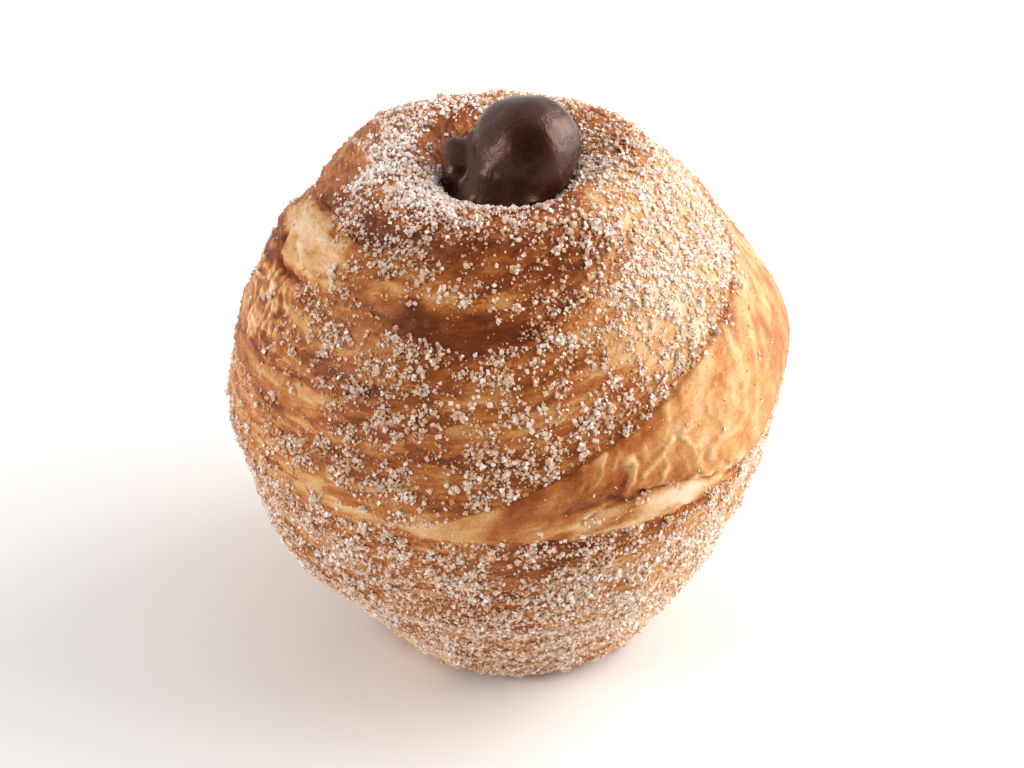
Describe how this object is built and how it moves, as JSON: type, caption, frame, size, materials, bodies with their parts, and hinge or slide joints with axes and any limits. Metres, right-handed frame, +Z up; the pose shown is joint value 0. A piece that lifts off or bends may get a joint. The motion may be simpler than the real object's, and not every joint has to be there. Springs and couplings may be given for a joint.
{
  "type": "cruffin",
  "caption": "Round laminated pastry baked in a muffin tin, wound in overlapping strips, sugared, with dark chocolate filling welling out of its crown.",
  "frame": {"origin": "middle of the flat base, on the surface that the pastry stands on", "axes": "+Z up through the crown, -Y towards the side that the camera sees, +X to its right"},
  "size_m": [0.092, 0.0882, 0.0969],
  "materials": {
    "crust": "golden-brown baked laminated crust with sugar crystals",
    "chocolate": "smooth satin dark chocolate cream"
  },
  "bodies": {
    "root": {"pastry": "crust", "chocolate": "chocolate"}
  },
  "joints": []
}
